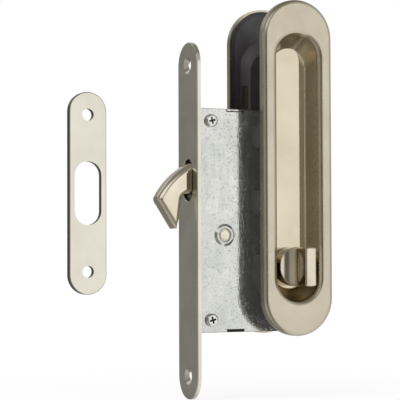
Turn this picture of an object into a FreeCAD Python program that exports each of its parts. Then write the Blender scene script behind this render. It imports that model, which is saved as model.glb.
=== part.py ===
"""Pocket door pull set: two flush pulls, a hook lock worked by a thumb turn, and its strike plate.

Frame: millimetres. The origin is the centre of the lock faceplate's back face, which lies against the
door leaf's edge. +X runs into the lock case, -Y towards the pull with the thumb turn, +Z up. The hook
stands out along -X.
"""
import FreeCAD
import Part
import math
import os

V = FreeCAD.Vector
os.makedirs("parts", exist_ok=True)

# Door leaf and fits
door_thickness = 32.7        # leaf that the two pulls clamp
sliding_gap = 0.1            # flat faces that turn past each other
running_gap = 0.05           # shaft in a bore, radial
seat_gap = 0.05              # pieces fitted together, not moving
free_gap = 0.3               # moving pieces that pass each other

# Faceplate
plate_width = 21.9
plate_height = 169.0
plate_thickness = 2.0
plate_edge_round = 0.45
plate_screw_inset = 11.0     # screw to the plate's end
plate_screw_hole = 4.4
plate_screw_sink = 8.2
plate_sink_depth = 1.5
hook_slot_low = 9.1
hook_slot_high = 28.9
hook_slot_width = 11.2
hook_slot_bevel = 0.3

# Lock case
case_height = 106.0
case_depth = 60.0
case_thickness = 12.3
sheet = 1.2
case_corner = 1.0
case_slot_margin = 0.5       # the case's own hook slot is this much larger all round
tab_start = 15.9             # crimp tabs, from the case's front edge
tab_length = 8.3
tab_rise = 1.0
tab_gap = 0.45               # notch round a tab
cover_screw_inset = 7.3      # from the case's front edge
cover_screw_margin = 5.9     # from the case's top and bottom
screw_head = 6.2
screw_head_height = 1.9
screw_shank = 3.0
screw_length = 6.0
screw_turn = 14.0            # degrees, the cross recess's turn
recess_width = 0.9
recess_span = 3.4
recess_depth = 1.1
post_diameter = 6.0
post_stub = 4.0
post_bore_spare = 0.2        # bore past the screw's end
bolt_hole_gap = 0.4          # case wall to through bolt's sleeve

# Hook pivot
pivot_x = 14.3
pivot_z = -7.0
pivot_diameter = 5.0
pivot_head_rise = 0.55
pivot_head_round = 0.35
dome_base = 10.6             # raised ring pressed in the cover around the pivot
dome_crest_outer = 8.2
dome_crest_inner = 6.8
dome_groove = 5.7
dome_rise = 0.8
washer_diameter = 11.0
washer_thickness = 1.0
bush_wall = 0.9

# Hook bolt
hook_thickness = 9.4
hook_outer_radius = 37.5     # outer edge, centred on the pivot
hook_tip_radius = 22.9       # nothing in the beak comes nearer to the pivot: clears the slot
beak_nose_stand = 0.12       # nose beyond that radius
hook_edge_round = 2.9
beak_edge_round = 2.4
beak_relief = 1.9            # the inner tip's rounding, which follows the faceplate slot's round end
hook_travel = 46.0           # degrees from thrown to drawn
hook_hub_radius = 10.0
beak_inside = 4.9            # beak's inner side, in front of the faceplate
beak_corner_x = -19.15       # top of the slanted end face
beak_face_angle = 57.0       # degrees, the end face's slope below the horizontal
beak_nose = 1.1              # radius of the nose
beak_bend = 3.0              # inside bend under the arm
arm_underside = 12.2
heel_slope = 1.4
hub_leave = 42.0             # angles at which the limb's two sides meet the hub
hub_return = 170.0
limb_shoulder = (2.7, 28.9)  # where the outer edge ends inside the case
tail_thickness = 4.0
tail_width = 14.4
tail_corner = 2.0
tail_gap = 0.4               # tail to drive arm, side by side
fork_play = 1.8              # each side of the drive pin, for its sideways swing in the fork
fork_lip = 0.95              # tail past the drive pin's farthest place
fork_spare = 0.2             # fork past the drive pin's nearest place

# Follower and spindle
spindle_setback = 13.55      # spindle to the case's back
spindle_square = 5.0
turn_travel = 90.0
follower_hub = 12.0
follower_cam = 18.0
journal_diameter = 10.0
drive_pin_diameter = 4.0
drive_arm_width = 8.6
drive_arm_thickness = 3.7
drive_pin_stand = 0.2        # pin past the tail's near face
bearing_wall = 1.5
bearing_flange = 1.0
bearing_flange_thickness = 0.5
notch_radius = 1.6
notch_depth = 0.9

# Detent spring and fixed pins
spring_thickness = 0.6
spring_width = 6.0
spring_end_room = 1.4        # pin below the spring's end to the case's bottom rim
fixed_pin_diameter = 4.0
stop_inset = 6.5             # stop pin back from the tail's end

# Flush pulls
pull_height = 25.06          # centre above the faceplate's centre
flange_side = 7.25           # from the mouth to the pull's side
flange_end = 16.6            # from the mouth to the pull's end
flange_height = 4.9
flange_round = 2.1
flange_skin = 1.0
mouth_width = 22.0
mouth_length = 126.8
lip_round = 2.6
lip_land = 0.05              # cup wall's end to the lip's round
flare_spread = 0.4           # outside of the flare, wider than the lip's round
flare_rise = 0.6             # start of the flare below the lip
cup_side_slope = 1.55        # mouth to floor, each side
cup_end_slope = 5.65         # mouth to floor, each end
cup_depth = 11.24            # flange face to cup floor
cup_wall = 0.8
cup_floor_round = 0.6

# Plastic backings
backing_plate = 2.6
backing_round = 1.0
backing_rebate_width = 2.0
backing_rebate_depth = 0.8
backing_wall = 1.0
window_length = 20.8
window_gap = 10.2
window_count = 3
window_margin = 0.8          # left of the backing's floor and plate above and below a window

# Thumb turn and emergency release
knob_side_gap = 0.1          # base to the cup floor's sides
knob_foot_gap = 1.24         # base to the cup floor's foot
knob_sink = 1.68             # base's rim below the flange face
knob_edge = 0.2
knob_foot_bevel = 0.9        # clears the round at the cup floor's edge
grip_width = 5.6
grip_height = 13.3
grip_blend = 6.3
grip_round = 0.8
shank_diameter = 9.0
shank_length = 3.4           # from the cup floor to the shank's end
clip_thickness = 0.8
clip_diameter = 14.0
clip_groove = 0.7
clip_opening = 4.8
release_diameter = 15.0
release_height = 2.6
release_round = 0.8
coin_slot_width = 1.8
coin_slot_depth = 1.4
coin_slot_inset = 1.2
release_socket = 0.8         # depth of its square pocket above the cup floor
spindle_chamfer = 0.4
spindle_spare = 0.2          # pocket past the spindle's far end

# Through bolts
bolt_top_inset = 7.81        # upper bolt below the cup floor's top
bolt_above_spindle = 36.1    # lower bolt
bolt_diameter = 4.0
bolt_head = 7.6
bolt_head_height = 2.0
sleeve_diameter = 6.4
sleeve_flange = 9.4
sleeve_flange_thickness = 0.6
sleeve_length = 15.0
sleeve_blind = 2.0           # solid end behind the cup floor
bolt_head_gap = 0.05
bolt_reach = 1.5             # the bolt's end, past the middle of the door

# Strike plate
strike_width = 18.2
strike_height = 93.4
strike_thickness = 3.2
strike_edge_round = 0.5
strike_x = -52.9
strike_z = 12.2
strike_slot_width = 13.1
strike_slot_height = 29.4
strike_screw_inset = 10.5    # screw to the strike's end
strike_screw_hole = 5.6

# Worked out from the sizes above
case_half = case_thickness / 2
case_inside = case_half - sheet
cover_screw_height = case_height / 2 - cover_screw_margin
plate_screw_spacing = plate_height - 2 * plate_screw_inset
strike_screw_spacing = strike_height - 2 * strike_screw_inset
pull_width = mouth_width + 2 * flange_side
pull_length = mouth_length + 2 * flange_end
floor_width = mouth_width - 2 * cup_side_slope
floor_length = mouth_length - 2 * cup_end_slope
knob_diameter = floor_width - 2 * knob_side_gap
spindle_x = case_depth - spindle_setback
spindle_z = pull_height - floor_length / 2 + knob_diameter / 2 + knob_foot_gap
bolt_heights = (pull_height + floor_length / 2 - bolt_top_inset, spindle_z + bolt_above_spindle)
door_face = door_thickness / 2
flange_face = door_face + flange_height
floor_level = flange_face - cup_depth
lip_level = flange_face - lip_round - lip_land
floor_back = floor_level - cup_wall
backing_floor = floor_back - seat_gap
backing_back = backing_floor - backing_wall
link = math.hypot(spindle_x - pivot_x, spindle_z - pivot_z)
link_angle = math.degrees(math.atan2(spindle_z - pivot_z, spindle_x - pivot_x))
half_swing = math.tan(math.radians(hook_travel / 2))
half_turn = math.radians(turn_travel / 2)
drive_radius = link * half_swing / (math.sin(half_turn) + half_swing * math.cos(half_turn))
pin_near = link - drive_radius
pin_far = math.sqrt(link ** 2 + drive_radius ** 2 - 2 * link * drive_radius * math.cos(half_turn))
tail_reach = pin_far + fork_lip
tail_angle = link_angle + hook_travel / 2
drive_angle = link_angle + 180 - turn_travel / 2
arm_low = free_gap * 2       # the drive arm lies on the far side of the hook's tail
arm_high = arm_low + drive_arm_thickness
tail_high = arm_low - tail_gap
tail_low = tail_high - tail_thickness
spring_half = case_height / 2 + spindle_z - sheet - spring_end_room - fixed_pin_diameter - free_gap
spring_tip_x = spindle_x + follower_cam / 2 + free_gap
spring_bow = case_depth - sheet - seat_gap - spring_tip_x - spring_thickness
spring_inner_radius = (spring_half ** 2 + spring_bow ** 2) / (2 * spring_bow)
spring_radius = spring_inner_radius + spring_thickness
knob_level = flange_face - knob_sink
turn_pocket = knob_level - floor_level + grip_height / 3


def rod(x, z, diameter, low, high):
    """Cylinder along Y."""
    return Part.makeCylinder(diameter / 2, high - low, V(x, low, z), V(0, 1, 0))


def ring(x, z, outer, inner, low, high):
    return rod(x, z, outer, low, high).cut(rod(x, z, inner, low - 1, high + 1))


def block(x0, x1, y0, y1, z0, z1):
    return Part.makeBox(x1 - x0, y1 - y0, z1 - z0, V(x0, y0, z0))


def stadium(x, z, width, height, y):
    """Upright full-round outline at one Y level."""
    r = width / 2
    s = height / 2 - r
    right = Part.LineSegment(V(x + r, y, z - s), V(x + r, y, z + s)).toShape()
    top = Part.Arc(V(x + r, y, z + s), V(x, y, z + s + r), V(x - r, y, z + s)).toShape()
    left = Part.LineSegment(V(x - r, y, z + s), V(x - r, y, z - s)).toShape()
    foot = Part.Arc(V(x - r, y, z - s), V(x, y, z - s - r), V(x + r, y, z - s)).toShape()
    return Part.Wire([right, top, left, foot])


def stadium_prism(x, z, width, height, low, high):
    return Part.Face(stadium(x, z, width, height, low)).extrude(V(0, high - low, 0))


def edges_at(shape, y, reach_x=None, centre_x=0.0):
    """Edges lying flat at one Y level, up to reach_x to each side of centre_x."""
    found = []
    for edge in shape.Edges:
        box = edge.BoundBox
        if abs(box.YMin - y) > 0.01 or abs(box.YMax - y) > 0.01:
            continue
        far = max(abs(box.XMin - centre_x), abs(box.XMax - centre_x))
        if reach_x is None or far < reach_x:
            found.append(edge)
    return found


def line_edge(y, a, b):
    return Part.LineSegment(V(a[0], y, a[1]), V(b[0], y, b[1])).toShape()


def arc_edge(y, a, middle, b):
    return Part.Arc(V(a[0], y, a[1]), V(middle[0], y, middle[1]), V(b[0], y, b[1])).toShape()


def turned(shape, x, z, degrees):
    """Copy turned about a Y axis; positive turns anticlockwise as seen from -Y."""
    copy = shape.copy()
    copy.rotate(V(x, 0, z), V(0, -1, 0), degrees)
    return copy


def mirrored(shape):
    """The same piece for the far side of the door."""
    return shape.mirror(V(0, 0, 0), V(0, 1, 0))


def polar(x, z, radius, degrees):
    a = math.radians(degrees)
    return x + radius * math.cos(a), z + radius * math.sin(a)


def save(name, *solids):
    shape = solids[0] if len(solids) == 1 else Part.makeCompound(list(solids))
    shape.exportStep("parts/" + name + ".step")


def make_faceplate():
    plate = stadium_prism(0, 0, plate_width, plate_height, 0, plate_thickness)
    plate = plate.makeFillet(plate_edge_round, edges_at(plate, 0))
    slot_height = hook_slot_high - hook_slot_low
    slot_middle = (hook_slot_high + hook_slot_low) / 2
    slot = stadium_prism(0, slot_middle, hook_slot_width, slot_height, -1, plate_thickness + 1)
    plate = plate.cut(slot)
    plate = plate.makeChamfer(hook_slot_bevel, edges_at(plate, 0, hook_slot_width / 2 + 0.1))
    for z in (-plate_screw_spacing / 2, plate_screw_spacing / 2):
        plate = plate.cut(rod(0, z, plate_screw_hole, -1, plate_thickness + 1))
        sink = Part.makeCone(plate_screw_sink / 2, plate_screw_hole / 2, plate_sink_depth,
                             V(0, 0, z), V(0, 1, 0))
        plate = plate.cut(sink)
    plate.rotate(V(0, 0, 0), V(0, 0, 1), -90)
    plate.translate(V(-plate_thickness, 0, 0))
    return plate


def case_outline(low, high, inset=0.0):
    half = case_height / 2 - inset
    return block(inset, case_depth - inset, low, high, -half, half)


def tab_block(side, low, high, gap):
    top = side * (case_height / 2)
    foot = side * (case_height / 2 - tab_rise - gap)
    x0 = tab_start - gap
    x1 = tab_start + tab_length + gap
    return block(x0, x1, low, high, min(top, foot), max(top, foot))


def case_holes():
    """Holes through both walls: spindle bearings and the lower through bolt."""
    holes = rod(spindle_x, spindle_z, journal_diameter + 2 * bearing_wall, -case_half - 1, case_half + 1)
    for z in bolt_heights:
        if abs(z) < case_height / 2:
            sleeve_room = sleeve_diameter + 2 * bolt_hole_gap
            holes = holes.fuse(rod(spindle_x, z, sleeve_room, -case_half - 1, case_half + 1))
    return holes


def make_lock_case():
    """Folded tray: far wall and four rims, with crimp tabs that pass through the cover's notches."""
    tray = case_outline(-case_inside, case_half)
    tray = tray.makeFillet(case_corner, [e for e in tray.Edges if e.BoundBox.YLength > case_half])
    hollow = case_outline(-case_half - 1, case_inside, sheet)
    tray = tray.cut(hollow)
    for side in (-1, 1):
        tray = tray.fuse(tab_block(side, -case_half, -case_inside + 0.5, -seat_gap))
    margin = case_slot_margin
    slot = block(-1, sheet + 1, -hook_slot_width / 2 - margin,
                 hook_slot_width / 2 + margin, hook_slot_low - margin, hook_slot_high + margin)
    tray = tray.cut(slot).cut(case_holes())
    tray = tray.cut(rod(pivot_x, pivot_z, pivot_diameter, 0, case_half + 1))
    for x, z in cover_screw_places():
        tray = tray.cut(rod(x, z, post_stub, 0, case_half + 1))
    return tray.removeSplitter()


def make_case_cover():
    """Flat cover with notches for the crimp tabs and a raised ring pressed up around the pivot."""
    cover = case_outline(-case_half, -case_inside)
    cover = cover.makeFillet(case_corner, [e for e in cover.Edges if e.BoundBox.YLength > sheet / 2])
    for side in (-1, 1):
        cover = cover.cut(tab_block(side, -case_half - 1, -case_inside + 1, tab_gap))
    face = -case_half
    profile = [(pivot_diameter / 2, -case_inside), (dome_base / 2, -case_inside), (dome_base / 2, face),
               (dome_crest_outer / 2, face - dome_rise), (dome_crest_inner / 2, face - dome_rise),
               (dome_groove / 2, face + 0.1), (pivot_diameter / 2, face + 0.1)]
    wire = Part.makePolygon([V(pivot_x + r, y, pivot_z) for r, y in profile + profile[:1]])
    dome = Part.Face(wire).revolve(V(pivot_x, 0, pivot_z), V(0, 1, 0), 360)
    cover = cover.cut(rod(pivot_x, pivot_z, dome_base, face - 1, -case_inside + 1)).fuse(dome)
    cover = cover.cut(case_holes())
    for x, z in cover_screw_places():
        cover = cover.cut(rod(x, z, screw_shank + 2 * seat_gap, -case_half - 1, -case_inside + 1))
    return cover.removeSplitter()


def cover_screw_places():
    x = cover_screw_inset
    return [(x, cover_screw_height), (x, -cover_screw_height)]


def make_case_screws():
    """Pan heads with a cross recess."""
    screws = []
    for x, z in cover_screw_places():
        head = rod(x, z, screw_head, -case_half - screw_head_height, -case_half)
        head = head.makeFillet(screw_head_height * 0.55, edges_at(head, -case_half - screw_head_height))
        screw = head.fuse(rod(x, z, screw_shank, -case_half, -case_half + screw_length))
        top = -case_half - screw_head_height
        half, span = recess_width / 2, recess_span / 2
        cross = block(x - half, x + half, top - 1, top + recess_depth, z - span, z + span)
        cross = cross.fuse(block(x - span, x + span, top - 1, top + recess_depth, z - half, z + half))
        screws.append(screw.cut(turned(cross, x, z, screw_turn)).removeSplitter())
    return screws


def make_case_posts():
    """Tapped posts riveted to the far wall, which the cover screws enter."""
    posts = []
    for x, z in cover_screw_places():
        post = rod(x, z, post_diameter, -case_inside, case_inside)
        post = post.fuse(rod(x, z, post_stub, case_inside, case_half))
        bore = rod(x, z, screw_shank, -case_inside - 1, -case_half + screw_length + post_bore_spare)
        posts.append(post.cut(bore).removeSplitter())
    return posts


def make_pivot_pin():
    head = -case_half - pivot_head_rise
    pin = rod(pivot_x, pivot_z, pivot_diameter, head, case_half)
    return pin.makeFillet(pivot_head_round, edges_at(pin, head))


def make_pivot_washers():
    inner = pivot_diameter + 2 * seat_gap
    high = ring(pivot_x, pivot_z, washer_diameter, inner, case_inside - washer_thickness, case_inside)
    return [mirrored(high), high]


def beak_corner():
    """Top of the end face, on the outer arc."""
    rise = math.sqrt(hook_outer_radius ** 2 - (pivot_x - beak_corner_x) ** 2)
    return beak_corner_x, pivot_z + rise


def nose_centre():
    """Centre of the nose's round: touches the end face and stands clear of the tip radius."""
    a = math.radians(beak_face_angle)
    x, z = beak_corner()
    x += beak_nose * math.sin(a)
    z += beak_nose * math.cos(a)
    along = (pivot_x - x) * math.cos(a) - (pivot_z - z) * math.sin(a)
    aside = (pivot_x - x) * math.sin(a) + (pivot_z - z) * math.cos(a)
    run = along - math.sqrt((hook_tip_radius + beak_nose_stand + beak_nose) ** 2 - aside ** 2)
    return x + run * math.cos(a), z - run * math.sin(a)


def inner_side():
    """The beak's inner side: its slope, its end on the bend under the arm and its touch on the nose."""
    bend = (beak_bend - beak_inside - plate_thickness, arm_underside - beak_bend)
    nose = nose_centre()
    span = math.hypot(bend[0] - nose[0], bend[1] - nose[1])
    slope = math.atan2(bend[1] - nose[1], bend[0] - nose[0]) + math.asin((beak_bend + beak_nose) / span)
    side = (-math.sin(slope), math.cos(slope))
    top = (bend[0] + beak_bend * side[0], bend[1] + beak_bend * side[1])
    foot = (nose[0] - beak_nose * side[0], nose[1] - beak_nose * side[1])
    return slope, bend, top, foot


def beak_apex():
    """Where the end face and the inner side would meet if the nose were sharp."""
    slope, _, _, foot = inner_side()
    a = math.radians(beak_face_angle)
    corner = beak_corner()
    dx, dz = foot[0] - corner[0], foot[1] - corner[1]
    cross = math.cos(a) * math.sin(slope) + math.sin(a) * math.cos(slope)
    run = (dx * math.sin(slope) - dz * math.cos(slope)) / cross
    return corner[0] + run * math.cos(a), corner[1] - run * math.sin(a)


def beak_wire(y):
    """Outline of the beak, arm and limb with a sharp nose, from its corner round to the hub and back."""
    corner = beak_corner()
    corner_angle = math.degrees(math.atan2(corner[1] - pivot_z, corner[0] - pivot_x))
    shoulder_angle = math.degrees(math.atan2(limb_shoulder[1] - pivot_z, limb_shoulder[0] - pivot_x))
    shoulder = polar(pivot_x, pivot_z, hook_outer_radius, shoulder_angle)
    crown = polar(pivot_x, pivot_z, hook_outer_radius, (corner_angle + shoulder_angle) / 2)
    hub_right = polar(pivot_x, pivot_z, hook_hub_radius, hub_leave)
    hub_foot = polar(pivot_x, pivot_z, hook_hub_radius, (hub_leave + hub_return) / 2 - 180)
    hub_left = polar(pivot_x, pivot_z, hook_hub_radius, hub_return)
    heel = (hub_left[0] - heel_slope, arm_underside)
    slope, bend, top, _ = inner_side()
    bend_middle = polar(bend[0], bend[1], beak_bend, 90 + math.degrees(slope) / 2)
    apex = beak_apex()
    edges = [
        arc_edge(y, corner, crown, shoulder),
        line_edge(y, shoulder, hub_right),
        arc_edge(y, hub_right, hub_foot, hub_left),
        line_edge(y, hub_left, heel),
        line_edge(y, heel, (bend[0], arm_underside)),
        arc_edge(y, (bend[0], arm_underside), bend_middle, top),
        line_edge(y, top, apex),
        line_edge(y, apex, corner),
    ]
    return Part.Wire(edges)


def hook_edges(body, half, outer):
    """Long edges of the hook's outer arc, or those inside the beak and under the arm."""
    chosen = []
    for edge in edges_at(body, -half) + edges_at(body, half):
        box = edge.BoundBox
        on_face = box.XMin < beak_corner_x + 0.1
        along_arc = on_face and box.XMax > 0
        inside = not on_face and box.XMin < -plate_thickness and box.ZMax < arm_underside + 0.1
        if along_arc and outer or inside and not outer:
            chosen.append(edge)
    return chosen


def nose_cutter(half):
    """What the sharp nose loses to its round."""
    apex = beak_apex()
    nose = nose_centre()
    a = math.radians(beak_face_angle)
    touch = (nose[0] - beak_nose * math.sin(a), nose[1] - beak_nose * math.cos(a))
    foot = inner_side()[3]
    out = (2 * apex[0] - nose[0], 2 * apex[1] - nose[1])
    points = [touch, nose, foot, out]
    wire = Part.makePolygon([V(x, -half - 1, z) for x, z in points + points[:1]])
    wedge = Part.Face(wire).extrude(V(0, 2 * half + 2, 0))
    return wedge.cut(rod(nose[0], nose[1], 2 * beak_nose, -half - 2, half + 2))


def tip_relief(half):
    """What the beak's inner tip loses so that it swings through the slot's round end."""
    small = (half ** 2 + beak_relief ** 2) / (2 * beak_relief)
    tube = Part.makeTorus(hook_tip_radius + small, small, V(pivot_x, 0, pivot_z), V(0, 1, 0))
    room = block(beak_corner_x, 1 - beak_inside - plate_thickness, -half - 1, half + 1,
                 beak_apex()[1] - 1, pivot_z + hook_hub_radius)
    return room.cut(tube)


def make_hook_bolt():
    half = hook_thickness / 2
    body = Part.Face(beak_wire(-half)).extrude(V(0, hook_thickness, 0))
    body = body.makeFillet(hook_edge_round, hook_edges(body, half, True))
    body = body.makeFillet(beak_edge_round, hook_edges(body, half, False))
    body = body.cut(nose_cutter(half)).cut(tip_relief(half))
    start = hook_hub_radius - 3
    reach = block(pivot_x + start, pivot_x + tail_reach, tail_low, tail_high,
                  pivot_z - tail_width / 2, pivot_z + tail_width / 2)
    end = pivot_x + tail_reach - 1
    corners = [e for e in reach.Edges if e.BoundBox.YLength > 1 and e.BoundBox.XMin > end]
    reach = reach.makeFillet(tail_corner, corners)
    slot_half = drive_pin_diameter / 2 + fork_play
    slot_start = pivot_x + pin_near - fork_spare
    slot = block(slot_start, pivot_x + tail_reach + 1, tail_low - 1, tail_high + 1,
                 pivot_z - slot_half, pivot_z + slot_half)
    slot = slot.fuse(rod(slot_start, pivot_z, 2 * slot_half, tail_low - 1, tail_high + 1))
    tail = turned(reach.cut(slot), pivot_x, pivot_z, tail_angle)
    hook = body.fuse(tail)
    washer_face = case_inside - washer_thickness - sliding_gap
    room = washer_diameter + 2 * free_gap
    hook = hook.cut(rod(pivot_x, pivot_z, room, washer_face, half + 1))
    hook = hook.cut(rod(pivot_x, pivot_z, room, -half - 1, -washer_face))
    bore = pivot_diameter + 2 * (running_gap + bush_wall)
    hook = hook.cut(rod(pivot_x, pivot_z, bore, -half - 1, half + 1))
    return hook.removeSplitter()


def make_hook_bush():
    face = case_inside - washer_thickness - sliding_gap
    inner = pivot_diameter + 2 * running_gap
    return ring(pivot_x, pivot_z, inner + 2 * bush_wall, inner, -face, face)


def square_hole(size, low, high):
    half = size / 2
    return block(spindle_x - half, spindle_x + half, low, high, spindle_z - half, spindle_z + half)


def make_follower():
    """Hub on the spindle with a notched cam and the arm that carries the drive pin."""
    inside = case_inside - bearing_flange_thickness - sliding_gap
    hub = rod(spindle_x, spindle_z, follower_hub, -inside, inside)
    hub = hub.fuse(rod(spindle_x, spindle_z, journal_diameter, -case_half, case_half))
    cam = rod(spindle_x, spindle_z, follower_cam, arm_low, arm_high)
    arm = block(spindle_x, spindle_x + drive_radius, arm_low, arm_high,
                spindle_z - drive_arm_width / 2, spindle_z + drive_arm_width / 2)
    arm = arm.fuse(rod(spindle_x + drive_radius, spindle_z, drive_arm_width, arm_low, arm_high))
    body = hub.fuse(cam).fuse(turned(arm, spindle_x, spindle_z, drive_angle))
    for angle in (0, -turn_travel):
        x, z = polar(spindle_x, spindle_z, follower_cam / 2 + notch_radius - notch_depth, angle)
        body = body.cut(rod(x, z, 2 * notch_radius, arm_low - 1, arm_high + 1))
    x, z = polar(spindle_x, spindle_z, drive_radius, drive_angle)
    body = body.cut(rod(x, z, drive_pin_diameter, arm_low - 1, arm_high + 1))
    hole = square_hole(spindle_square + 2 * seat_gap, -case_half - 1, case_half + 1)
    return body.cut(hole).removeSplitter()


def make_drive_pin():
    x, z = polar(spindle_x, spindle_z, drive_radius, drive_angle)
    return rod(x, z, drive_pin_diameter, tail_low - drive_pin_stand, arm_high)


def make_bearings():
    """Flanged nylon rings in the two case walls."""
    inner = journal_diameter + 2 * running_gap
    outer = journal_diameter + 2 * bearing_wall
    near = ring(spindle_x, spindle_z, outer, inner, case_inside, case_half)
    flange = ring(spindle_x, spindle_z, outer + 2 * bearing_flange, inner,
                  case_inside - bearing_flange_thickness, case_inside)
    near = near.fuse(flange).removeSplitter()
    return [near, mirrored(near)]


def make_detent_spring():
    """Bowed strip on the case's back rim: two arcs with one centre, bowed towards the follower's cam."""
    low = -spring_width / 2
    centre = spring_tip_x + spring_radius
    strip = ring(centre, spindle_z, 2 * spring_radius, 2 * spring_inner_radius, low, low + spring_width)
    keep = block(spring_tip_x - 1, case_depth, low - 1, low + spring_width + 1,
                 spindle_z - spring_half, spindle_z + spring_half)
    return strip.common(keep)


def make_fixed_pins():
    """Pins riveted between the walls: two past the spring's ends and the hook's stop."""
    pins = []
    rest = spring_half + fixed_pin_diameter / 2 + free_gap
    x = case_depth - sheet - fixed_pin_diameter / 2 - free_gap
    for z in (spindle_z - rest, spindle_z + rest):
        pins.append(rod(x, z, fixed_pin_diameter, -case_inside, case_inside))
    across = tail_width / 2 + fixed_pin_diameter / 2 + free_gap
    stop_reach = tail_reach - stop_inset
    a = math.radians(tail_angle)
    sx = pivot_x + stop_reach * math.cos(a) - across * math.sin(a)
    sz = pivot_z + stop_reach * math.sin(a) + across * math.cos(a)
    pins.append(rod(sx, sz, fixed_pin_diameter, -case_inside, case_inside))
    return pins


def cup_section(width_extra, y):
    """Cup outline at one depth: linear between the mouth and the floor, grown by a wall."""
    t = (y - floor_level) / (lip_level - floor_level)
    width = floor_width + t * (mouth_width - floor_width) + 2 * width_extra
    length = floor_length + t * (mouth_length - floor_length) + 2 * width_extra
    return stadium(spindle_x, pull_height, width, length, y)


def cup_body(extra, low, high):
    return Part.makeLoft([cup_section(extra, low), cup_section(extra, high)], True, True)


def flare_body(extra, low):
    """Outside of the cup with the flare under its lip."""
    skin = flange_face - flange_skin
    wide = mouth_width / 2 + lip_round + flare_spread + extra
    top = stadium(spindle_x, pull_height, 2 * wide, mouth_length - mouth_width + 2 * wide, skin)
    knee_level = lip_level - flare_rise
    knee = cup_section(cup_wall + extra, knee_level)
    foot = Part.makeLoft([cup_section(cup_wall + extra, low), knee], True, True)
    return foot.fuse(Part.makeLoft([knee, top], True, True))


def make_rear_pull():
    """Formed metal pull on the +Y side: rounded flange with a rim, flared lip and tapering cup."""
    flange = stadium_prism(spindle_x, pull_height, pull_width, pull_length, door_face, flange_face)
    flange = flange.makeFillet(flange_round, edges_at(flange, flange_face))
    skin = flange_face - flange_skin
    inside = stadium_prism(spindle_x, pull_height, pull_width - 2 * flange_skin,
                           pull_length - 2 * flange_skin, door_face - 1, skin)
    inside = inside.makeFillet(flange_round - flange_skin, edges_at(inside, skin))
    shell = flange.cut(inside).fuse(flare_body(0, floor_back))
    cup = cup_body(0, floor_level, lip_level)
    cup = cup.makeFillet(cup_floor_round, edges_at(cup, floor_level))
    neck = stadium_prism(spindle_x, pull_height, mouth_width, mouth_length, lip_level, flange_face + 1)
    shell = shell.cut(cup).cut(neck).removeSplitter()
    lip = edges_at(shell, flange_face, mouth_width / 2 + 0.5, spindle_x)
    shell = shell.makeFillet(lip_round, lip)
    bore = rod(spindle_x, spindle_z, shank_diameter + 2 * running_gap, 0, flange_face)
    return shell.cut(bore)


def sink_cutter(z):
    """Countersunk bolt hole through the rear cup's floor."""
    cone = Part.makeCone(bolt_diameter / 2, bolt_head / 2, bolt_head_height,
                         V(spindle_x, floor_level - bolt_head_height, z), V(0, 1, 0))
    return cone.fuse(rod(spindle_x, z, bolt_diameter + 4 * seat_gap, 0, floor_level + 0.5))


def make_backing():
    """Moulded backing: plate inside the rim and a shell round the cup, with windows in its sides."""
    inner = flange_skin + seat_gap
    top = door_face + backing_plate
    plate = stadium_prism(spindle_x, pull_height, pull_width - 2 * inner, pull_length - 2 * inner,
                          door_face, top)
    plate = plate.makeFillet(backing_round, edges_at(plate, top))
    edge = 2 * (inner + backing_rebate_width)
    low_edge = stadium_prism(spindle_x, pull_height, pull_width, pull_length,
                             door_face - 1, door_face + backing_rebate_depth)
    land = stadium_prism(spindle_x, pull_height, pull_width - edge, pull_length - edge,
                         door_face - 2, door_face + backing_rebate_depth + 1)
    plate = plate.cut(low_edge.cut(land))
    grown = cup_wall + seat_gap + backing_wall
    sections = [cup_section(grown, backing_back), cup_section(grown, door_face + 0.5)]
    shell = Part.makeLoft(sections, True, True)
    body = plate.fuse(shell).cut(flare_body(seat_gap, backing_floor))
    pitch = window_length + window_gap
    reach = mouth_width
    for i in range(window_count):
        z = pull_height + (i - (window_count - 1) / 2) * pitch
        for side in (-1, 1):
            near = spindle_x + side * (floor_width / 2 - 0.2)
            far = spindle_x + side * reach
            window = block(min(near, far), max(near, far), backing_floor + window_margin,
                           door_face - window_margin, z - window_length / 2, z + window_length / 2)
            body = body.cut(window)
    bore = rod(spindle_x, spindle_z, shank_diameter + 2 * running_gap, 0, flange_face)
    return body.cut(bore).removeSplitter()


def make_pulls():
    rear = make_rear_pull()
    front = mirrored(rear)
    for z in bolt_heights:
        rear = rear.cut(sink_cutter(z))
    backing = make_backing()
    rear_backing = backing
    front_backing = mirrored(backing)
    for z in bolt_heights:
        rear_backing = rear_backing.cut(sink_cutter(z))
        pocket = rod(spindle_x, z, sleeve_flange + 2 * seat_gap, -backing_floor - 1,
                     -backing_floor + sleeve_flange_thickness + seat_gap)
        bore = rod(spindle_x, z, sleeve_diameter + 2 * seat_gap, -door_face, 0)
        front_backing = front_backing.cut(pocket).cut(bore)
    return front, rear, front_backing, rear_backing


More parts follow.
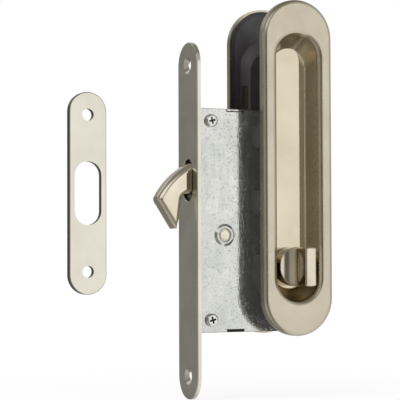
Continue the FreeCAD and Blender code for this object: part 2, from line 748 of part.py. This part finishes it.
def make_thumb_turn():
    """Round base in the cup's foot, rising by hollow blends into an upright grip."""
    base_low = -(floor_level + sliding_gap)
    face = -knob_level
    front = face - grip_height
    x, z = spindle_x, spindle_z
    base = rod(x, z, knob_diameter, face, base_low)
    base = base.makeChamfer(knob_edge, edges_at(base, face))
    base = base.makeChamfer(knob_foot_bevel, edges_at(base, base_low))
    reach = knob_diameter / 2 - knob_edge
    half = grip_width / 2
    foot = half + grip_blend
    bend = grip_blend * (1 - math.sqrt(0.5))
    sunk = face + knob_edge + 1

    def point(dx, y):
        return V(x + dx, y, z - reach)

    def side(a, b):
        return Part.LineSegment(a, b).toShape()

    rise = face - grip_blend
    left = Part.Arc(point(-foot, face), point(-half - bend, face - bend), point(-half, rise))
    right = Part.Arc(point(half, rise), point(half + bend, face - bend), point(foot, face))
    outline = [
        left.toShape(),
        side(point(-half, rise), point(-half, front)),
        side(point(-half, front), point(half, front)),
        side(point(half, front), point(half, rise)),
        right.toShape(),
        side(point(foot, face), point(foot, sunk)),
        side(point(foot, sunk), point(-foot, sunk)),
        side(point(-foot, sunk), point(-foot, face)),
    ]
    grip = Part.Face(Part.Wire(outline)).extrude(V(0, 0, 2 * reach))
    grip = grip.common(rod(x, z, 2 * reach, front - 1, base_low + 1))
    grip = grip.makeFillet(grip_round, edges_at(grip, front))
    turn = base.fuse(grip).fuse(shank(-1))
    return turn.cut(socket(-1, turn_pocket)).removeSplitter()


def shank(side):
    """Stem through the cup floor with a groove for its clip, on either side of the door."""
    end = floor_level - shank_length
    stem = rod(spindle_x, spindle_z, shank_diameter, end, floor_level + sliding_gap)
    groove = ring(spindle_x, spindle_z, shank_diameter + 1, shank_diameter - 2 * clip_groove,
                  backing_back - clip_thickness - 2 * seat_gap, backing_back)
    stem = stem.cut(groove)
    return mirrored(stem) if side < 0 else stem


def socket(side, depth):
    """Square pocket for the spindle, open at the shank's end."""
    end = floor_level - shank_length
    hole = square_hole(spindle_square + 2 * seat_gap, end - 1, end + shank_length + depth)
    return mirrored(hole) if side < 0 else hole


def make_emergency_release():
    """Low round head in the far cup with a slot for a coin."""
    base = floor_level + sliding_gap
    top = base + release_height
    head = rod(spindle_x, spindle_z, release_diameter, base, top)
    head = head.makeFillet(release_round, edges_at(head, top))
    across = coin_slot_width / 2
    along = release_diameter / 2 - coin_slot_inset
    slot = block(spindle_x - across, spindle_x + across, top - coin_slot_depth, top + 1,
                 spindle_z - along, spindle_z + along)
    return head.cut(slot).fuse(shank(1)).cut(socket(1, release_socket)).removeSplitter()


def make_turn_clips():
    """Open retaining rings in the shank grooves."""
    low = backing_back - clip_thickness - seat_gap
    high = backing_back - seat_gap
    inner = shank_diameter - 2 * clip_groove + 2 * seat_gap
    clip = ring(spindle_x, spindle_z, clip_diameter, inner, low, high)
    gap = block(spindle_x - clip_opening / 2, spindle_x + clip_opening / 2, low - 1, high + 1,
                spindle_z - clip_diameter, spindle_z)
    clip = clip.cut(gap)
    return [clip, mirrored(clip)]


def make_spindle():
    low = spindle_spare - floor_level - turn_pocket
    high = floor_level + release_socket - spindle_spare
    bar = square_hole(spindle_square, low, high)
    return bar.makeChamfer(spindle_chamfer, edges_at(bar, low) + edges_at(bar, high))


def make_pull_bolts():
    """Countersunk bolts whose heads lie in the rear cup's floor."""
    bolts = []
    for z in bolt_heights:
        cone = Part.makeCone(bolt_diameter / 2, bolt_head / 2 - bolt_head_gap, bolt_head_height,
                             V(spindle_x, floor_level - bolt_head_height, z), V(0, 1, 0))
        bolt = cone.fuse(rod(spindle_x, z, bolt_diameter, -bolt_reach, floor_level - bolt_head_height))
        half, span = recess_width / 2, recess_span / 2
        top = floor_level
        floor = top - recess_depth
        cross = block(spindle_x - half, spindle_x + half, floor, top + 1, z - span, z + span)
        cross = cross.fuse(block(spindle_x - span, spindle_x + span, floor, top + 1, z - half, z + half))
        bolts.append(bolt.cut(cross).removeSplitter())
    return bolts


def make_pull_sleeves():
    """Tapped sleeves whose flanges are trapped behind the front cup's floor."""
    sleeves = []
    foot = -backing_floor
    for z in bolt_heights:
        sleeve = rod(spindle_x, z, sleeve_diameter, foot, foot + sleeve_length)
        sleeve = sleeve.fuse(rod(spindle_x, z, sleeve_flange, foot, foot + sleeve_flange_thickness))
        bore = rod(spindle_x, z, bolt_diameter + 2 * seat_gap, foot + sleeve_blind,
                   foot + sleeve_length + 1)
        sleeves.append(sleeve.cut(bore).removeSplitter())
    return sleeves


def make_strike_plate():
    low = -strike_thickness / 2
    high = strike_thickness / 2
    plate = stadium_prism(strike_x, strike_z, strike_width, strike_height, low, high)
    plate = plate.makeFillet(strike_edge_round, edges_at(plate, low))
    slot = stadium_prism(strike_x, strike_z, strike_slot_width, strike_slot_height, low - 1, high + 1)
    plate = plate.cut(slot)
    for z in (strike_z - strike_screw_spacing / 2, strike_z + strike_screw_spacing / 2):
        plate = plate.cut(rod(strike_x, z, strike_screw_hole, low - 1, high + 1))
    return plate


save("faceplate", make_faceplate())
save("lock_case", make_lock_case())
save("case_cover", make_case_cover())
save("case_screws", *make_case_screws())
save("case_posts", *make_case_posts())
save("pivot_pin", make_pivot_pin())
save("pivot_washers", *make_pivot_washers())
save("hook_bolt", make_hook_bolt())
save("hook_bush", make_hook_bush())
save("follower", make_follower())
save("drive_pin", make_drive_pin())
save("follower_bearings", *make_bearings())
save("detent_spring", make_detent_spring())
save("fixed_pins", *make_fixed_pins())
front_pull, rear_pull, front_backing, rear_backing = make_pulls()
save("front_pull", front_pull)
save("rear_pull", rear_pull)
save("front_backing", front_backing)
save("rear_backing", rear_backing)
save("thumb_turn", make_thumb_turn())
save("emergency_release", make_emergency_release())
save("turn_clips", *make_turn_clips())
save("spindle", make_spindle())
save("pull_bolts", *make_pull_bolts())
save("pull_sleeves", *make_pull_sleeves())
save("strike_plate", make_strike_plate())
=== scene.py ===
import math

import bpy
from mathutils import Matrix, Vector


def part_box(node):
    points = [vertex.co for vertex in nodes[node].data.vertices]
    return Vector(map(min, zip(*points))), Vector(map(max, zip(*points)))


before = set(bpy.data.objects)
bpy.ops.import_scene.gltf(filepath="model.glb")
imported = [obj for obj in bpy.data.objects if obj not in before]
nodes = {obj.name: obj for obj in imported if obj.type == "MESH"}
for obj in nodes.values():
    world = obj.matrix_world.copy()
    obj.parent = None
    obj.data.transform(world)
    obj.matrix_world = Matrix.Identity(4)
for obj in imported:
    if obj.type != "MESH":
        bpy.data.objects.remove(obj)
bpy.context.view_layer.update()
scene = bpy.context.scene

# Lengths on the part, in metres
CUP_FLOOR_Y = 0.01001       # each cup's polished floor, from the middle plane of the set
CASE_FACE_Y = -0.00615      # outer face of the lock case's cover
COVER_END = 0.0019          # how far behind that face the painted shade round the crimp tabs ends
TAB_X = 0.02005             # middle of the two crimp tabs
TAB_HALF = 0.0043
NOTCH_HALF = 0.0048
NOTCH_HEIGHT = 0.0018
SCREW_HEAD = 0.0062
FLOOR_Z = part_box("faceplate")[0].z
EDGE = 0.0001               # width over which one finish gives way to the next

# Noise scales, in waves per metre, that several metals share
CLOUDS = 55
SMEARS = 160
PEEL = 420
HAIRLINES = 900
GRIT = 5200

# Camera, fitted to the photograph
CAMERA_AZIMUTH = math.radians(-24.56)
CAMERA_ELEVATION = math.radians(-1.91)
CAMERA_ROLL = math.radians(-0.19)
CAMERA_TARGET = Vector((0.0044, 0.0, 0.00971))
CAMERA_DISTANCE = 0.78726
CAMERA_LENS = 149.09
SENSOR = 36.0
CLIP = (0.01, 20)


def make_camera():
    ca, sa = math.cos(CAMERA_AZIMUTH), math.sin(CAMERA_AZIMUTH)
    ce, se = math.cos(CAMERA_ELEVATION), math.sin(CAMERA_ELEVATION)
    back = Vector((sa * ce, -ca * ce, se))
    right = (-back).cross(Vector((0, 0, 1))).normalized()
    up = right.cross(-back)
    cr, sr = math.cos(CAMERA_ROLL), math.sin(CAMERA_ROLL)
    across = right * cr + up * sr
    upward = up * cr - right * sr
    data = bpy.data.cameras.new("photo_camera")
    data.lens = CAMERA_LENS
    data.sensor_width = SENSOR
    data.clip_start, data.clip_end = CLIP
    camera = bpy.data.objects.new("photo_camera", data)
    turned = Matrix((across, upward, back)).transposed().to_4x4()
    camera.matrix_world = Matrix.Translation(CAMERA_TARGET + back * CAMERA_DISTANCE) @ turned
    scene.collection.objects.link(camera)
    scene.camera = camera


class Graph:
    """Small helper for building one material's nodes."""

    def __init__(self, name):
        self.material = bpy.data.materials.new(name)
        self.material.use_nodes = True
        self.tree = self.material.node_tree
        self.tree.nodes.clear()
        self.output = self.node("OutputMaterial")
        self.coords = self.node("TexCoord").outputs["Object"]

    def node(self, kind):
        return self.tree.nodes.new("ShaderNode" + kind)

    def link(self, a, b):
        self.tree.links.new(a, b)

    def put(self, socket, value):
        if isinstance(value, bpy.types.NodeSocket):
            self.link(value, socket)
        else:
            socket.default_value = value

    def math(self, operation, *values):
        node = self.node("Math")
        node.operation = operation
        for socket, value in zip(node.inputs, values):
            self.put(socket, value)
        return node.outputs[0]

    def product(self, first, *others):
        for other in others:
            first = self.math("MULTIPLY", first, other)
        return first

    def total(self, first, *others):
        for other in others:
            first = self.math("ADD", first, other)
        return first

    def weighted(self, *terms):
        """Sum of value times weight."""
        return self.total(*(self.product(value, weight) for value, weight in terms))

    def length(self, a, b):
        """Length of the vector whose two parts are a and b."""
        return self.math("SQRT", self.total(self.product(a, a), self.product(b, b)))

    def axis(self, name, vector=None):
        node = self.node("SeparateXYZ")
        self.link(vector or self.coords, node.inputs[0])
        return node.outputs[name]

    def beyond(self, name, place):
        """Distance past a place along an axis, less than 0 before it."""
        return self.math("SUBTRACT", self.axis(name), place)

    def either_side(self, name, place):
        return self.math("ABSOLUTE", self.beyond(name, place))

    def stretch(self, scale):
        node = self.node("Mapping")
        self.link(self.coords, node.inputs["Vector"])
        node.inputs["Scale"].default_value = scale
        return node.outputs[0]

    def noise(self, scale, detail=2.0, vector=None, rough=0.5):
        node = self.node("TexNoise")
        self.link(vector or self.coords, node.inputs["Vector"])
        node.inputs["Scale"].default_value = scale
        node.inputs["Detail"].default_value = detail
        node.inputs["Roughness"].default_value = rough
        return node.outputs["Fac"]

    def cells(self, scale, vector=None):
        node = self.node("TexVoronoi")
        self.link(vector or self.coords, node.inputs["Vector"])
        node.inputs["Scale"].default_value = scale
        return node

    def warp(self, scale, shift):
        """The part's own coordinates, pushed about by up to shift metres."""
        swirl = self.node("TexNoise")
        swirl.inputs["Scale"].default_value = scale
        self.link(self.coords, swirl.inputs["Vector"])
        push = self.node("VectorMath")
        push.operation = "SCALE"
        push.inputs["Scale"].default_value = shift
        self.link(swirl.outputs["Color"], push.inputs[0])
        moved = self.node("VectorMath")
        moved.operation = "ADD"
        self.link(self.coords, moved.inputs[0])
        self.link(push.outputs[0], moved.inputs[1])
        return moved.outputs[0]

    def ramp(self, value, start, end, low=0.0, high=1.0):
        """Goes smoothly from low to high while value goes from start to end."""
        node = self.node("MapRange")
        node.interpolation_type = "SMOOTHSTEP"
        self.put(node.inputs["Value"], value)
        node.inputs["From Min"].default_value = start
        node.inputs["From Max"].default_value = end
        node.inputs["To Min"].default_value = low
        node.inputs["To Max"].default_value = high
        return node.outputs["Result"]

    def spread(self, noise, low=0.0, high=1.0, top=0.7):
        """Goes from low to high over the values that a noise mostly takes, 0.3 to top."""
        return self.ramp(noise, 0.3, top, low, high)

    def above(self, value, limit, soft=EDGE):
        return self.ramp(value, limit, limit + soft)

    def below(self, value, limit, soft=EDGE):
        return self.ramp(value, limit, limit - soft)

    def mix(self, factor, a, b):
        node = self.node("Mix")
        node.data_type = "RGBA"
        self.put(node.inputs["Factor"], factor)
        self.put(node.inputs["A"], a)
        self.put(node.inputs["B"], b)
        return node.outputs["Result"]

    def bump(self, height, strength, distance, over=None):
        node = self.node("Bump")
        node.inputs["Strength"].default_value = strength
        node.inputs["Distance"].default_value = distance
        self.link(height, node.inputs["Height"])
        if over is not None:
            self.link(over, node.inputs["Normal"])
        return node.outputs["Normal"]

    def surface(self, color, roughness, normal, metallic=1.0, specular=None):
        shader = self.node("BsdfPrincipled")
        self.put(shader.inputs["Base Color"], color)
        self.put(shader.inputs["Roughness"], roughness)
        shader.inputs["Metallic"].default_value = metallic
        self.link(normal, shader.inputs["Normal"])
        if specular is not None:
            shader.inputs["Specular IOR Level"].default_value = specular
        self.link(shader.outputs["BSDF"], self.output.inputs["Surface"])
        return self.material


def rgb(r, g, b):
    """sRGB 0-255 to a linear colour."""
    def line(v):
        v /= 255
        return v / 12.92 if v <= 0.04045 else ((v + 0.055) / 1.055) ** 2.4
    return (line(r), line(g), line(b), 1.0)


def faceplate_metal():
    """Plated and fine-blasted metal: cloudy tone, a fine sparkle and a soft orange peel."""
    g = Graph("faceplate_metal")
    grit = g.noise(GRIT, detail=2)
    tone = g.spread(g.weighted((g.noise(CLOUDS, detail=4), 0.7), (grit, 0.3)))
    base = g.mix(tone, rgb(219, 213, 200), rgb(234, 229, 217))
    roughness = g.spread(g.noise(SMEARS, detail=3), 0.15, 0.22)
    normal = g.bump(grit, strength=0.048, distance=0.00005)
    normal = g.bump(g.noise(PEEL, detail=2), strength=0.04, distance=0.0002, over=normal)
    return g.surface(base, roughness, normal)


def strike_metal():
    """Fine satin face; its punched edge and the walls of its holes are duller, and painted darker
    as shade.
    """
    g = Graph("strike_metal")
    low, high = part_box("strike_plate")
    half = (high.x - low.x) / 2
    across = g.beyond("X", (low.x + high.x) / 2)
    along = g.either_side("Z", (low.z + high.z) / 2)
    past_straight = g.math("MAXIMUM", g.math("SUBTRACT", along, (high.z - low.z) / 2 - half), 0.0)
    punched = g.above(g.length(across, past_straight), half - 5 * EDGE, soft=4 * EDGE)
    depth = g.axis("Y")
    wall = g.product(g.above(depth, low.y + EDGE, soft=2 * EDGE),
                     g.below(depth, high.y - EDGE, soft=2 * EDGE))
    # Painted shade: the punched edge's roll and the hole walls are darkened; the added roughness
    # there is the duller sheared metal.
    dull_and_shaded_edge = g.math("MAXIMUM", g.product(punched, 0.6), wall)
    grit = g.noise(GRIT, detail=2)
    tone = g.spread(g.weighted((g.noise(CLOUDS, detail=4), 0.7), (grit, 0.3)))
    face = g.mix(tone, rgb(222, 217, 203), rgb(233, 229, 216))
    base = g.mix(dull_and_shaded_edge, face, rgb(112, 108, 99))
    satin = g.spread(g.noise(SMEARS, detail=3), 0.16, 0.22)
    roughness = g.total(satin, g.product(dull_and_shaded_edge, 0.1))
    normal = g.bump(g.noise(HAIRLINES, detail=3), strength=0.05, distance=0.00005)
    return g.surface(base, roughness, normal)


def polished_nickel(name, color, darker, rough):
    """Bright plate with hairlines from the buffing wheel and a slow waviness."""
    g = Graph(name)
    hair = g.noise(HAIRLINES, detail=3, vector=g.stretch((1.0, 7.0, 1.0)))
    base = g.mix(g.spread(g.noise(70, detail=3)), darker, color)
    roughness = g.spread(hair, rough * 0.75, rough * 1.5, top=0.75)
    normal = g.bump(hair, strength=0.05, distance=0.00005)
    normal = g.bump(g.noise(210, detail=2), strength=0.08, distance=0.0003, over=normal)
    return g.surface(base, roughness, normal)


def pull_metal():
    """Satin nickel; the floors of the cups are polished like a mirror."""
    g = Graph("pull_metal")
    grit = g.noise(GRIT, detail=2)
    tone = g.spread(g.weighted((g.noise(CLOUDS, detail=4), 0.6), (grit, 0.4)))
    satin = g.mix(tone, rgb(198, 189, 170), rgb(210, 202, 183))
    mirror = g.mix(g.spread(g.noise(38, detail=3)), rgb(214, 203, 179), rgb(224, 214, 192))
    polished = g.below(g.math("ABSOLUTE", g.axis("Y")), CUP_FLOOR_Y + 3.5 * EDGE, soft=2.5 * EDGE)
    unpolished = g.math("SUBTRACT", 1.0, polished)
    base = g.mix(polished, satin, mirror)
    satin_rough = g.spread(g.noise(SMEARS, detail=3), 0.21, 0.28)
    hair = g.noise(700, detail=3, vector=g.stretch((6.0, 1.0, 0.6)))
    mirror_rough = g.spread(hair, 0.05, 0.10, top=0.75)
    roughness = g.weighted((satin_rough, unpolished), (mirror_rough, polished))
    normal = g.bump(g.product(grit, unpolished), strength=0.06, distance=0.00005)
    peel = g.product(g.noise(PEEL, detail=2), unpolished)
    normal = g.bump(peel, strength=0.04, distance=0.0002, over=normal)
    return g.surface(base, roughness, normal)


def zinc_coat():
    """Hot-dip zinc: soft spangles, streaks and pin-head dots, with bare sheared edges, painted
    shade in the notch gaps round the crimp tabs and a painted shadow on the lower tab."""
    g = Graph("zinc_coat")
    spangle = g.axis("X", g.cells(150, g.warp(120, 0.006)).outputs["Color"])
    cloud = g.noise(45, detail=5, rough=0.6)
    streak = g.noise(260, detail=3, vector=g.stretch((1.0, 1.0, 0.25)))
    tone = g.weighted((spangle, 0.12), (cloud, 0.55), (streak, 0.33))
    base = g.mix(g.ramp(tone, 0.25, 0.75), rgb(200, 202, 198), rgb(227, 228, 224))
    speck = g.ramp(g.noise(900, detail=2), 0.66, 0.78)
    base = g.mix(g.product(speck, 0.4), base, rgb(170, 171, 167))
    roughness = g.ramp(tone, 0.25, 0.75, 0.07, 0.11)
    normal = g.bump(streak, strength=0.10, distance=0.0002)
    normal = g.bump(g.noise(1300, detail=0.8), strength=0.5, distance=0.00006, over=normal)
    dots = g.cells(1500)
    some = g.ramp(g.axis("X", dots.outputs["Color"]), 0.55, 0.95)
    dot = g.product(g.ramp(dots.outputs["Distance"], 0.5, 0.1), some)
    normal = g.bump(dot, strength=1.0, distance=0.00007, over=normal)

    low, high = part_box("lock_case")
    half = (high.z - low.z) / 2
    level = g.either_side("Z", low.z + half)
    across = g.either_side("X", TAB_X)
    height, depth = g.axis("Z"), g.axis("Y")
    in_cover = g.below(depth, CASE_FACE_Y + COVER_END, soft=3 * EDGE)
    sheared = g.product(g.above(level, half - 4 * EDGE, soft=2.5 * EDGE),
                        g.below(depth, CASE_FACE_Y + EDGE))
    # Painted shade: the floor and walls of the notches round the crimp tabs are darkened, as the
    # gap would be in shade.
    notch_shade = g.product(g.below(across, NOTCH_HALF), in_cover,
                     g.above(depth, CASE_FACE_Y + 0.8 * EDGE, soft=1.2 * EDGE),
                     g.above(level, half - NOTCH_HEIGHT), g.below(level, half - 0.8 * EDGE))
    # Painted shadow: the face of the lower crimp tab is darkened as if it lay in shade.
    lower_tab_shade = g.product(g.below(across, TAB_HALF), in_cover,
                          g.below(height, low.z + 11.5 * EDGE),
                          g.above(height, low.z, soft=0.4 * EDGE))
    base = g.mix(g.product(sheared, 0.75), base, rgb(104, 105, 102))
    base = g.mix(notch_shade, base, rgb(58, 58, 56))
    base = g.mix(lower_tab_shade, base, rgb(40, 40, 38))
    return g.surface(base, roughness, normal, metallic=0.92)


def moulded_plastic():
    """Filled black nylon with a fine spark-eroded texture and faint flow marks."""
    g = Graph("black_nylon")
    flow = g.noise(60, detail=4, vector=g.stretch((1.0, 1.0, 0.4)))
    base = g.mix(g.ramp(flow, 0.35, 0.7), rgb(50, 48, 50), rgb(68, 66, 67))
    roughness = g.spread(g.noise(300, detail=3), 0.32, 0.46)
    grain = g.cells(2600).outputs["Distance"]
    normal = g.bump(grain, strength=0.25, distance=0.00006)
    normal = g.bump(g.noise(180, detail=2), strength=0.06, distance=0.0004, over=normal)
    return g.surface(base, roughness, normal, metallic=0.0, specular=0.45)


def turned_metal(name, color, darker, rough):
    """Machined metal with fine parallel tool lines and oil haze."""
    g = Graph(name)
    tool = g.noise(2600, detail=2, vector=g.stretch((0.15, 1.0, 0.15)))
    base = g.mix(g.spread(g.noise(120, detail=4)), darker, color)
    roughness = g.spread(tool, rough * 0.8, rough * 1.3)
    return g.surface(base, roughness, g.bump(tool, strength=0.12, distance=0.00006))


def screw_zinc():
    """Bright zinc plate, duller and with painted shade down in the cross slot of each head."""
    g = Graph("screw_zinc")
    low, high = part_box("case_screws")
    across = g.beyond("X", (low.x + high.x) / 2)
    heads = [g.length(across, g.beyond("Z", z))
             for z in (low.z + SCREW_HEAD / 2, high.z - SCREW_HEAD / 2)]
    near = g.below(g.math("MINIMUM", *heads), 23 * EDGE, soft=2 * EDGE)
    deep = g.above(g.axis("Y"), low.y + 0.8 * EDGE, soft=2.2 * EDGE)
    # Painted shade: the cross slot in each head is darkened, and also made duller.
    dull_shaded_recess = g.product(near, deep)
    hair = g.noise(HAIRLINES, detail=3, vector=g.stretch((1.0, 7.0, 1.0)))
    plate = g.mix(g.spread(g.noise(150, detail=3)), rgb(212, 211, 205), rgb(232, 231, 225))
    base = g.mix(dull_shaded_recess, plate, rgb(72, 70, 62))
    roughness = g.total(g.spread(hair, 0.12, 0.2, top=0.75), g.product(dull_shaded_recess, 0.35))
    return g.surface(base, roughness, g.bump(hair, strength=0.05, distance=0.00005))


def white_nylon():
    """Matt nylon, a little yellowed in patches."""
    g = Graph("white_nylon")
    base = g.mix(g.spread(g.noise(150, detail=4)), rgb(214, 210, 198), rgb(233, 230, 220))
    roughness = g.spread(g.noise(400, detail=2), 0.42, 0.55)
    normal = g.bump(g.noise(1500, detail=2), strength=0.10, distance=0.0001)
    return g.surface(base, roughness, normal, metallic=0.0)


def dress(material, *names):
    for name in names:
        for slot in nodes[name].material_slots:
            slot.material = material


def make_materials():
    dress(faceplate_metal(), "faceplate")
    dress(strike_metal(), "strike_plate")
    dress(zinc_coat(), "lock_case", "case_cover")
    dress(screw_zinc(), "case_screws")
    dress(polished_nickel("bright_zinc", rgb(232, 231, 225), rgb(212, 211, 205), rough=0.15),
          "pull_bolts", "pull_sleeves")
    dress(polished_nickel("hook_nickel", rgb(238, 230, 212), rgb(222, 212, 190), rough=0.09),
          "hook_bolt")
    dress(polished_nickel("rivet_nickel", rgb(236, 230, 212), rgb(216, 208, 188), rough=0.16),
          "pivot_pin")
    dress(polished_nickel("turn_nickel", rgb(226, 217, 198), rgb(208, 199, 178), rough=0.14),
          "thumb_turn", "emergency_release")
    dress(pull_metal(), "front_pull", "rear_pull")
    dress(moulded_plastic(), "front_backing", "rear_backing")
    dress(turned_metal("bare_steel", rgb(168, 166, 160), rgb(140, 138, 132), rough=0.30),
          "case_posts", "pivot_washers", "follower", "drive_pin", "fixed_pins", "spindle")
    dress(turned_metal("blued_spring", rgb(110, 116, 128), rgb(84, 88, 100), rough=0.28),
          "detent_spring", "turn_clips")
    dress(turned_metal("sintered_bronze", rgb(196, 150, 96), rgb(160, 116, 70), rough=0.38),
          "hook_bush")
    dress(white_nylon(), "follower_bearings")


FLOOR_HALF = 3.0
FLOOR_GAP = 0.0005              # between the faceplate's foot and the floor
SHADOW_REACH = (0.03, 0.30)     # the floor's own tone shows less and less between these radii
SHADOW_WHITE = 0.86             # share of plain white at the first of them


def make_floor():
    """Pale floor that fades into the white background away from the object."""
    s = FLOOR_HALF
    mesh = bpy.data.meshes.new("floor")
    mesh.from_pydata([(-s, -s, 0), (s, -s, 0), (s, s, 0), (-s, s, 0)], [], [(0, 1, 2, 3)])
    floor = bpy.data.objects.new("floor", mesh)
    floor.location.z = FLOOR_Z - FLOOR_GAP
    floor.visible_glossy = False
    scene.collection.objects.link(floor)
    g = Graph("floor_paper")
    paper = g.mix(g.spread(g.noise(180, detail=3)), (0.86, 0.86, 0.85, 1), (0.9, 0.9, 0.89, 1))
    diffuse = g.node("BsdfDiffuse")
    g.link(paper, diffuse.inputs["Color"])
    white = g.node("Emission")
    white.inputs["Strength"].default_value = 1.0
    fade = g.ramp(g.length(g.axis("X"), g.axis("Y")), *SHADOW_REACH, low=SHADOW_WHITE)
    path = g.node("LightPath")
    seen = g.math("MAXIMUM", path.outputs["Is Camera Ray"], path.outputs["Is Transmission Ray"])
    blend = g.node("MixShader")
    g.link(g.product(fade, seen), blend.inputs[0])
    g.link(diffuse.outputs[0], blend.inputs[1])
    g.link(white.outputs[0], blend.inputs[2])
    g.link(blend.outputs[0], g.output.inputs["Surface"])
    mesh.materials.append(g.material)


# The screens that the metals mirror. Each row is an angle from -Y towards -X in degrees, a
# brightness and a warmth. At eye level:
ROOM = (
    (-180, 0.64, 0.3), (-150, 0.70, 0.3), (-110, 0.62, 0.4), (-70, 0.58, 0.5), (-50, 0.66, 0.3),
    (-38, 1.02, 0.1), (-14, 1.00, 0.1), (-2, 0.84, 0.2), (11, 0.18, 0.6), (16, 0.13, 0.7),
    (40, 0.14, 0.6), (54, 0.35, 0.4), (82, 0.38, 0.4), (105, 0.42, 0.4), (128, 0.42, 0.4),
    (143, 0.25, 0.3), (166, 0.22, 0.3), (180, 0.64, 0.3),
)
# Above eye level:
ROOM_HIGH = (
    (-180, 0.38, 0.4), (-120, 0.45, 0.3), (-60, 0.55, 0.3), (-28, 0.50, 0.4), (-12, 0.34, 0.6),
    (6, 0.30, 0.6), (18, 0.75, 0.2), (32, 1.00, 0.1), (58, 1.00, 0.1), (76, 0.60, 0.3),
    (92, 0.22, 0.6), (118, 0.20, 0.6), (138, 0.70, 0.2), (154, 0.80, 0.2), (168, 0.36, 0.4),
    (180, 0.38, 0.4),
)
# Below eye level, on the white floor:
ROOM_LOW = (
    (-180, 0.24, 0.4), (-150, 0.55, 0.3), (-110, 0.75, 0.2), (-60, 0.88, 0.1), (-25, 1.00, 0.1),
    (-10, 0.85, 0.2), (8, 0.32, 0.4), (40, 0.28, 0.4), (70, 0.50, 0.2), (105, 0.50, 0.2),
    (150, 0.20, 0.5), (180, 0.24, 0.4),
)
# The ceiling's brightness and warmth
CEILING = (0.22, 0.7)
# Between which heights of the view direction, -1 to 1, eye level gives way to each of them
TO_HIGH = (0.24, 0.46)
TO_CEILING = (0.68, 0.86)
TO_LOW = (-0.10, -0.34)

WHITE = (1, 1, 1, 1)
SKY = (0.92, 0.93, 0.95, 1)
SKY_STRENGTH = 0.6


def room_color(brightness, warmth):
    return (brightness, brightness * (1 - 0.035 * warmth), brightness * (1 - 0.17 * warmth), 1.0)


def make_world():
    """White to the camera, an even sky to matt surfaces, and the room of screens to metal."""
    world = bpy.data.worlds.new("studio")
    scene.world = world
    world.use_nodes = True
    tree = world.node_tree
    tree.nodes.clear()

    def add(kind):
        return tree.nodes.new("ShaderNode" + kind)

    def put(socket, value):
        if isinstance(value, bpy.types.NodeSocket):
            tree.links.new(value, socket)
        else:
            socket.default_value = value

    def calculate(operation, a, b):
        node = add("Math")
        node.operation = operation
        put(node.inputs[0], a)
        put(node.inputs[1], b)
        return node.outputs[0]

    def background(color, strength):
        node = add("Background")
        put(node.inputs["Color"], color)
        node.inputs["Strength"].default_value = strength
        return node.outputs[0]

    def fade(value, start, end):
        node = add("MapRange")
        node.interpolation_type = "SMOOTHSTEP"
        put(node.inputs["Value"], value)
        node.inputs["From Min"].default_value = start
        node.inputs["From Max"].default_value = end
        return node.outputs["Result"]

    def blend(factor, a, b):
        node = add("Mix")
        node.data_type = "RGBA"
        put(node.inputs["Factor"], factor)
        put(node.inputs["A"], a)
        put(node.inputs["B"], b)
        return node.outputs["Result"]

    def choose(factor, a, b):
        node = add("MixShader")
        put(node.inputs[0], factor)
        put(node.inputs[1], a)
        put(node.inputs[2], b)
        return node.outputs[0]

    view = add("SeparateXYZ")
    put(view.inputs[0], add("TexCoord").outputs["Generated"])
    back = calculate("MULTIPLY", view.outputs["Y"], -1.0)
    side = calculate("MULTIPLY", view.outputs["X"], -1.0)
    turn = calculate("DIVIDE", calculate("ARCTAN2", side, back), 2 * math.pi)
    turn = calculate("ADD", turn, 0.5)

    def screens(table):
        ramp = add("ValToRGB")
        put(ramp.inputs[0], turn)
        stops = ramp.color_ramp.elements
        while len(stops) < len(table):
            stops.new(1.0)
        for stop, (angle, brightness, warmth) in zip(stops, table):
            stop.position = angle / 360 + 0.5
            stop.color = room_color(brightness, warmth)
        return ramp.outputs[0]

    height = view.outputs["Z"]
    room = blend(fade(height, *TO_HIGH), screens(ROOM), screens(ROOM_HIGH))
    room = blend(fade(height, *TO_CEILING), room, room_color(*CEILING))
    room = blend(fade(height, *TO_LOW), room, screens(ROOM_LOW))
    path = add("LightPath")
    sky = background(SKY, SKY_STRENGTH)
    seen = choose(path.outputs["Is Glossy Ray"], sky, background(room, 1.0))
    seen = choose(path.outputs["Is Camera Ray"], seen, background(WHITE, 1.0))
    put(add("OutputWorld").inputs["Surface"], seen)


# Name, place, side of the square, power in watts, colour
LAMPS = (
    ("front_softbox", (0.5, -1.1, 0.5), 0.9, 5.0, (1.0, 0.985, 0.96)),
    ("left_softbox", (-1.2, -0.25, 0.35), 0.8, 14.0, (0.97, 0.99, 1.0)),
    ("top_softbox", (-0.35, -0.35, 1.1), 0.7, 4.0, (1.0, 0.99, 0.97)),
)
LAMPS_AIM = Vector((0.02, 0, 0))


def make_lamps():
    """Soft boxes for the matt surfaces. The metals mirror the room and not these."""
    for name, place, side, power, color in LAMPS:
        data = bpy.data.lights.new(name, "AREA")
        data.shape = "RECTANGLE"
        data.size = data.size_y = side
        data.energy = power
        data.color = color
        lamp = bpy.data.objects.new(name, data)
        lamp.location = place
        lamp.rotation_euler = (LAMPS_AIM - Vector(place)).to_track_quat("-Z", "Y").to_euler()
        lamp.visible_glossy = False
        scene.collection.objects.link(lamp)


make_camera()
make_materials()
make_floor()
make_world()
make_lamps()
scene.view_settings.view_transform = "Standard"
